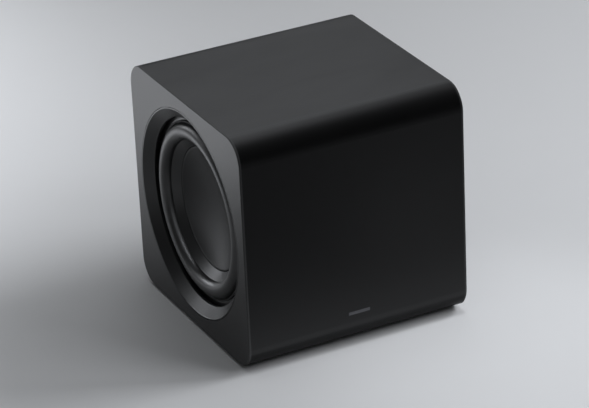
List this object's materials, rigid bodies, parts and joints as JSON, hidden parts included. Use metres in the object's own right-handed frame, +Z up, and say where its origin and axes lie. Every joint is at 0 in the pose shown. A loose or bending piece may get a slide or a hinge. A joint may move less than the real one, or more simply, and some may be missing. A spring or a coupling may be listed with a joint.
{
  "type": "subwoofer",
  "caption": "Compact cube subwoofer with rounded edges and a driver recessed in each side face, sealed, with a rear amplifier panel.",
  "frame": {"origin": "centre of the footprint on the floor, under the rubber feet", "axes": "+Z up; the front face looks along -Y and the rear amplifier panel along +Y; the drivers face -X (left) and +X (right)"},
  "size_m": [0.249, 0.249, 0.2518],
  "materials": {
    "sleeve": "smooth satin black",
    "side_panel": "fine-grained matte black",
    "trim": "satin black",
    "board": "raw fibreboard",
    "seal": "soft foam rubber",
    "frame": "black powder coat",
    "fastener": "black zinc",
    "roll": "satin rubber",
    "cone": "satin moulded",
    "dish": "smooth satin",
    "former": "bright foil",
    "copper": "enamelled copper wire",
    "cloth": "resin-treated cloth",
    "steel": "zinc plated",
    "ferrite": "dark ferrite",
    "terminal": "brown laminate",
    "cable": "red and black sleeving",
    "wadding": "loose polyester",
    "foot": "matte rubber",
    "badge": "plain grey",
    "rear": "fine-grained black",
    "circuit": "green solder mask",
    "brass": "plain",
    "sink": "extruded",
    "core": "ferrite core",
    "can": "sleeved can",
    "shield": "tinned shield",
    "socket": "black nylon",
    "button": "satin",
    "spring": "spring wire",
    "switch": "plain",
    "lamp": "clear",
    "lens": "clear moulded rod"
  },
  "bodies": {
    "cabinet": {"cabinet_wrap": "sleeve", "internal_brace": "board", "baffle_left": "board", "baffle_right": "board", "damping_pad_left": "wadding", "damping_pad_right": "wadding", "front_badge": "badge", "rubber_feet": "foot", "foot_screws": "fastener", "rear_screws": "fastener", "driver_screws_left": "fastener", "driver_screws_right": "fastener", "side_panel_left": "side_panel", "side_panel_right": "side_panel", "trim_ring_left": "trim", "trim_ring_right": "trim", "rear_gasket": "seal", "mounting_gasket_left": "seal", "mounting_gasket_right": "seal", "clamp_ring_left": "seal", "clamp_ring_right": "seal", "basket_left": "frame", "basket_right": "frame", "surround_left": "roll", "surround_right": "roll", "spider_left": "cloth", "spider_right": "cloth", "top_plate_left": "steel", "top_plate_right": "steel", "yoke_left": "steel", "yoke_right": "steel", "magnet_left": "ferrite", "magnet_right": "ferrite", "terminal_strip_left": "terminal", "terminal_strip_right": "terminal", "driver_cable_left": "cable", "driver_cable_right": "cable", "rear_panel": "rear", "amplifier_board": "circuit", "board_standoffs": "brass", "inlet_pins": "brass", "heat_sink": "sink", "power_transformer": "core", "reservoir_capacitors": "can", "wireless_module": "shield", "mains_inlet": "socket", "button_spring": "spring", "pairing_switch": "switch", "status_lamp": "lamp", "light_pipe": "lens"},
    "cone_left": {"cone_left": "cone", "dust_cap_left": "dish", "voice_coil_former_left": "former", "voice_coil_winding_left": "copper"},
    "cone_right": {"cone_right": "cone", "dust_cap_right": "dish", "voice_coil_former_right": "former", "voice_coil_winding_right": "copper"},
    "button": {"pairing_button": "button"}
  },
  "joints": [
    {"name": "cone_left_slide", "type": "slide", "parent": "cabinet", "child": "cone_left", "axis": [-1, 0, 0], "range_m": [-0.007, 0.007], "stiffness_N_per_m": 3500, "deforming": ["surround_left", "spider_left"]},
    {"name": "cone_right_slide", "type": "slide", "parent": "cabinet", "child": "cone_right", "axis": [1, 0, 0], "range_m": [-0.007, 0.007], "stiffness_N_per_m": 3500, "deforming": ["surround_right", "spider_right"]},
    {"name": "pairing_button_press", "type": "slide", "parent": "cabinet", "child": "button", "axis": [0, -1, 0], "range_m": [0, 0.0008], "stiffness_N_per_m": 1500, "springref_m": -0.0004, "deforming": ["button_spring"]}
  ]
}
